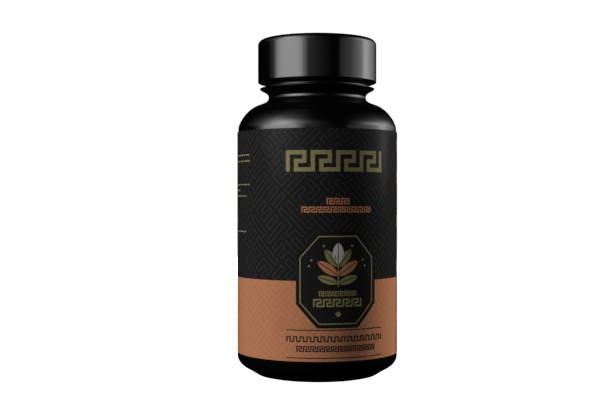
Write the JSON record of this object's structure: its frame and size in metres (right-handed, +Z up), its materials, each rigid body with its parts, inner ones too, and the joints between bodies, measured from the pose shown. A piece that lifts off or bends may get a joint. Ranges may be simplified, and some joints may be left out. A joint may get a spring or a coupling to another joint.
{
  "type": "screw-cap supplement bottle",
  "caption": "Wide-mouth black plastic bottle with a smooth screw cap, a bead flange under it, a rounded heel and a black and copper wrap label; holds capsules or tablets.",
  "frame": {"origin": "on the bottle's axis, on the surface that the standing ring rests on", "axes": "+Z up along the bottle's axis, towards the cap; -Y towards the middle of the label's front"},
  "size_m": [0.0646, 0.0646, 0.135],
  "materials": {
    "bottle_plastic": "moulded black plastic, semi-gloss, with soft strip-shaped reflections",
    "cap_plastic": "moulded black plastic, smooth and glossy",
    "liner_foam": "off-white pressed foam sheet, matte",
    "label_film": "satin printed film: black above, copper-coloured below, with thin maze-like line ornament"
  },
  "bodies": {
    "bottle": {"bottle": "bottle_plastic", "label": "label_film"},
    "liner": {"liner": "liner_foam"},
    "cap": {"cap": "cap_plastic"}
  },
  "joints": [
    {"name": "cap_rise", "type": "slide", "parent": "bottle", "child": "liner", "axis": [0, 0, 1], "range_m": [0, 0.0053]},
    {"name": "cap_turn", "type": "hinge", "parent": "liner", "child": "cap", "pos_m": [0, 0, 0], "axis": [0, 0, 1], "range_deg": [0, 450]}
  ],
  "couplings": [
    {"joint": "cap_rise", "follows": "cap_turn", "m_per_rad": 0.00067376}
  ]
}
